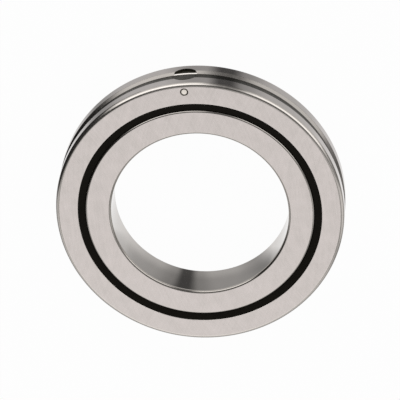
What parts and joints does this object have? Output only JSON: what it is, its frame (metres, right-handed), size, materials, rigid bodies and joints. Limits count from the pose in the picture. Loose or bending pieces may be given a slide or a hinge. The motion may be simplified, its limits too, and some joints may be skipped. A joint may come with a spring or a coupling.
{
  "type": "crossed roller bearing",
  "caption": "Slim crossed roller bearing: one-piece rings, rollers crossed in a V raceway, an oil groove round the rim, a pinned loading plug and a black lip seal on each face.",
  "frame": {"origin": "centre of the bearing, on its axis and midway between its faces", "axes": "+Z along the axis, out of the front face that has the plug's pin; +Y out through the loading plug"},
  "size_m": [0.065, 0.065, 0.01],
  "materials": {
    "ring_steel": "fine ground satin",
    "plug_steel": "ground",
    "pin_steel": "bright",
    "roller_steel": "superfinished",
    "seal_rubber": "smooth moulded",
    "separator_resin": "moulded"
  },
  "bodies": {
    "outer": {"outer_ring": "ring_steel", "loading_plug": "plug_steel", "plug_pin": "pin_steel", "front_seal": "seal_rubber", "rear_seal": "seal_rubber"},
    "inner": {"inner_ring": "ring_steel"},
    "roller_train": {"separator_1": "separator_resin", "separator_2": "separator_resin", "separator_3": "separator_resin", "separator_4": "separator_resin", "separator_5": "separator_resin", "separator_6": "separator_resin", "separator_7": "separator_resin", "separator_8": "separator_resin", "separator_9": "separator_resin", "separator_10": "separator_resin", "separator_11": "separator_resin", "separator_12": "separator_resin", "separator_13": "separator_resin", "separator_14": "separator_resin", "separator_15": "separator_resin", "separator_16": "separator_resin", "separator_17": "separator_resin", "separator_18": "separator_resin", "separator_19": "separator_resin", "separator_20": "separator_resin", "separator_21": "separator_resin", "separator_22": "separator_resin", "separator_23": "separator_resin", "separator_24": "separator_resin", "separator_25": "separator_resin", "separator_26": "separator_resin"},
    "roller_1_body": {"roller_1": "roller_steel"},
    "roller_2_body": {"roller_2": "roller_steel"},
    "roller_3_body": {"roller_3": "roller_steel"},
    "roller_4_body": {"roller_4": "roller_steel"},
    "roller_5_body": {"roller_5": "roller_steel"},
    "roller_6_body": {"roller_6": "roller_steel"},
    "roller_7_body": {"roller_7": "roller_steel"},
    "roller_8_body": {"roller_8": "roller_steel"},
    "roller_9_body": {"roller_9": "roller_steel"},
    "roller_10_body": {"roller_10": "roller_steel"},
    "roller_11_body": {"roller_11": "roller_steel"},
    "roller_12_body": {"roller_12": "roller_steel"},
    "roller_13_body": {"roller_13": "roller_steel"},
    "roller_14_body": {"roller_14": "roller_steel"},
    "roller_15_body": {"roller_15": "roller_steel"},
    "roller_16_body": {"roller_16": "roller_steel"},
    "roller_17_body": {"roller_17": "roller_steel"},
    "roller_18_body": {"roller_18": "roller_steel"},
    "roller_19_body": {"roller_19": "roller_steel"},
    "roller_20_body": {"roller_20": "roller_steel"},
    "roller_21_body": {"roller_21": "roller_steel"},
    "roller_22_body": {"roller_22": "roller_steel"},
    "roller_23_body": {"roller_23": "roller_steel"},
    "roller_24_body": {"roller_24": "roller_steel"},
    "roller_25_body": {"roller_25": "roller_steel"},
    "roller_26_body": {"roller_26": "roller_steel"}
  },
  "joints": [
    {"name": "inner_ring_spin", "type": "hinge", "parent": "outer", "child": "inner", "pos_m": [0, 0, 0], "axis": [0, 0, 1], "continuous": true},
    {"name": "train_orbit", "type": "hinge", "parent": "outer", "child": "roller_train", "pos_m": [0, 0, 0], "axis": [0, 0, 1], "continuous": true},
    {"name": "roller_1_spin", "type": "hinge", "parent": "roller_train", "child": "roller_1_body", "pos_m": [0, 0.02665, 0], "axis": [0, 0.7071, 0.7071], "continuous": true},
    {"name": "roller_2_spin", "type": "hinge", "parent": "roller_train", "child": "roller_2_body", "pos_m": [-0.00638, 0.02588, 0], "axis": [0.1692, -0.6866, 0.7071], "continuous": true},
    {"name": "roller_3_spin", "type": "hinge", "parent": "roller_train", "child": "roller_3_body", "pos_m": [-0.01238, 0.0236, 0], "axis": [-0.3286, 0.6261, 0.7071], "continuous": true},
    {"name": "roller_4_spin", "type": "hinge", "parent": "roller_train", "child": "roller_4_body", "pos_m": [-0.01767, 0.01995, 0], "axis": [0.4689, -0.5293, 0.7071], "continuous": true},
    {"name": "roller_5_spin", "type": "hinge", "parent": "roller_train", "child": "roller_5_body", "pos_m": [-0.02193, 0.01514, 0], "axis": [-0.5819, 0.4017, 0.7071], "continuous": true},
    {"name": "roller_6_spin", "type": "hinge", "parent": "roller_train", "child": "roller_6_body", "pos_m": [-0.02492, 0.00945, 0], "axis": [0.6612, -0.2507, 0.7071], "continuous": true},
    {"name": "roller_7_spin", "type": "hinge", "parent": "roller_train", "child": "roller_7_body", "pos_m": [-0.02646, 0.00321, 0], "axis": [-0.702, 0.0852, 0.7071], "continuous": true},
    {"name": "roller_8_spin", "type": "hinge", "parent": "roller_train", "child": "roller_8_body", "pos_m": [-0.02646, -0.00321, 0], "axis": [0.702, 0.0852, 0.7071], "continuous": true},
    {"name": "roller_9_spin", "type": "hinge", "parent": "roller_train", "child": "roller_9_body", "pos_m": [-0.02492, -0.00945, 0], "axis": [-0.6612, -0.2507, 0.7071], "continuous": true},
    {"name": "roller_10_spin", "type": "hinge", "parent": "roller_train", "child": "roller_10_body", "pos_m": [-0.02193, -0.01514, 0], "axis": [0.5819, 0.4017, 0.7071], "continuous": true},
    {"name": "roller_11_spin", "type": "hinge", "parent": "roller_train", "child": "roller_11_body", "pos_m": [-0.01767, -0.01995, 0], "axis": [-0.4689, -0.5293, 0.7071], "continuous": true},
    {"name": "roller_12_spin", "type": "hinge", "parent": "roller_train", "child": "roller_12_body", "pos_m": [-0.01238, -0.0236, 0], "axis": [0.3286, 0.6261, 0.7071], "continuous": true},
    {"name": "roller_13_spin", "type": "hinge", "parent": "roller_train", "child": "roller_13_body", "pos_m": [-0.00638, -0.02588, 0], "axis": [-0.1692, -0.6866, 0.7071], "continuous": true},
    {"name": "roller_14_spin", "type": "hinge", "parent": "roller_train", "child": "roller_14_body", "pos_m": [0, -0.02665, 0], "axis": [0, 0.7071, 0.7071], "continuous": true},
    {"name": "roller_15_spin", "type": "hinge", "parent": "roller_train", "child": "roller_15_body", "pos_m": [0.00638, -0.02588, 0], "axis": [0.1692, -0.6866, 0.7071], "continuous": true},
    {"name": "roller_16_spin", "type": "hinge", "parent": "roller_train", "child": "roller_16_body", "pos_m": [0.01238, -0.0236, 0], "axis": [-0.3286, 0.6261, 0.7071], "continuous": true},
    {"name": "roller_17_spin", "type": "hinge", "parent": "roller_train", "child": "roller_17_body", "pos_m": [0.01767, -0.01995, 0], "axis": [0.4689, -0.5293, 0.7071], "continuous": true},
    {"name": "roller_18_spin", "type": "hinge", "parent": "roller_train", "child": "roller_18_body", "pos_m": [0.02193, -0.01514, 0], "axis": [-0.5819, 0.4017, 0.7071], "continuous": true},
    {"name": "roller_19_spin", "type": "hinge", "parent": "roller_train", "child": "roller_19_body", "pos_m": [0.02492, -0.00945, 0], "axis": [0.6612, -0.2507, 0.7071], "continuous": true},
    {"name": "roller_20_spin", "type": "hinge", "parent": "roller_train", "child": "roller_20_body", "pos_m": [0.02646, -0.00321, 0], "axis": [-0.702, 0.0852, 0.7071], "continuous": true},
    {"name": "roller_21_spin", "type": "hinge", "parent": "roller_train", "child": "roller_21_body", "pos_m": [0.02646, 0.00321, 0], "axis": [0.702, 0.0852, 0.7071], "continuous": true},
    {"name": "roller_22_spin", "type": "hinge", "parent": "roller_train", "child": "roller_22_body", "pos_m": [0.02492, 0.00945, 0], "axis": [-0.6612, -0.2507, 0.7071], "continuous": true},
    {"name": "roller_23_spin", "type": "hinge", "parent": "roller_train", "child": "roller_23_body", "pos_m": [0.02193, 0.01514, 0], "axis": [0.5819, 0.4017, 0.7071], "continuous": true},
    {"name": "roller_24_spin", "type": "hinge", "parent": "roller_train", "child": "roller_24_body", "pos_m": [0.01767, 0.01995, 0], "axis": [-0.4689, -0.5293, 0.7071], "continuous": true},
    {"name": "roller_25_spin", "type": "hinge", "parent": "roller_train", "child": "roller_25_body", "pos_m": [0.01238, 0.0236, 0], "axis": [0.3286, 0.6261, 0.7071], "continuous": true},
    {"name": "roller_26_spin", "type": "hinge", "parent": "roller_train", "child": "roller_26_body", "pos_m": [0.00638, 0.02588, 0], "axis": [-0.1692, -0.6866, 0.7071], "continuous": true}
  ],
  "couplings": [
    {"joint": "train_orbit", "follows": "inner_ring_spin", "ratio": 0.46683},
    {"joint": "roller_1_spin", "follows": "inner_ring_spin", "ratio": -5.3065},
    {"joint": "roller_2_spin", "follows": "inner_ring_spin", "ratio": -5.3065},
    {"joint": "roller_3_spin", "follows": "inner_ring_spin", "ratio": -5.3065},
    {"joint": "roller_4_spin", "follows": "inner_ring_spin", "ratio": -5.3065},
    {"joint": "roller_5_spin", "follows": "inner_ring_spin", "ratio": -5.3065},
    {"joint": "roller_6_spin", "follows": "inner_ring_spin", "ratio": -5.3065},
    {"joint": "roller_7_spin", "follows": "inner_ring_spin", "ratio": -5.3065},
    {"joint": "roller_8_spin", "follows": "inner_ring_spin", "ratio": -5.3065},
    {"joint": "roller_9_spin", "follows": "inner_ring_spin", "ratio": -5.3065},
    {"joint": "roller_10_spin", "follows": "inner_ring_spin", "ratio": -5.3065},
    {"joint": "roller_11_spin", "follows": "inner_ring_spin", "ratio": -5.3065},
    {"joint": "roller_12_spin", "follows": "inner_ring_spin", "ratio": -5.3065},
    {"joint": "roller_13_spin", "follows": "inner_ring_spin", "ratio": -5.3065},
    {"joint": "roller_14_spin", "follows": "inner_ring_spin", "ratio": -5.3065},
    {"joint": "roller_15_spin", "follows": "inner_ring_spin", "ratio": -5.3065},
    {"joint": "roller_16_spin", "follows": "inner_ring_spin", "ratio": -5.3065},
    {"joint": "roller_17_spin", "follows": "inner_ring_spin", "ratio": -5.3065},
    {"joint": "roller_18_spin", "follows": "inner_ring_spin", "ratio": -5.3065},
    {"joint": "roller_19_spin", "follows": "inner_ring_spin", "ratio": -5.3065},
    {"joint": "roller_20_spin", "follows": "inner_ring_spin", "ratio": -5.3065},
    {"joint": "roller_21_spin", "follows": "inner_ring_spin", "ratio": -5.3065},
    {"joint": "roller_22_spin", "follows": "inner_ring_spin", "ratio": -5.3065},
    {"joint": "roller_23_spin", "follows": "inner_ring_spin", "ratio": -5.3065},
    {"joint": "roller_24_spin", "follows": "inner_ring_spin", "ratio": -5.3065},
    {"joint": "roller_25_spin", "follows": "inner_ring_spin", "ratio": -5.3065},
    {"joint": "roller_26_spin", "follows": "inner_ring_spin", "ratio": -5.3065}
  ]
}
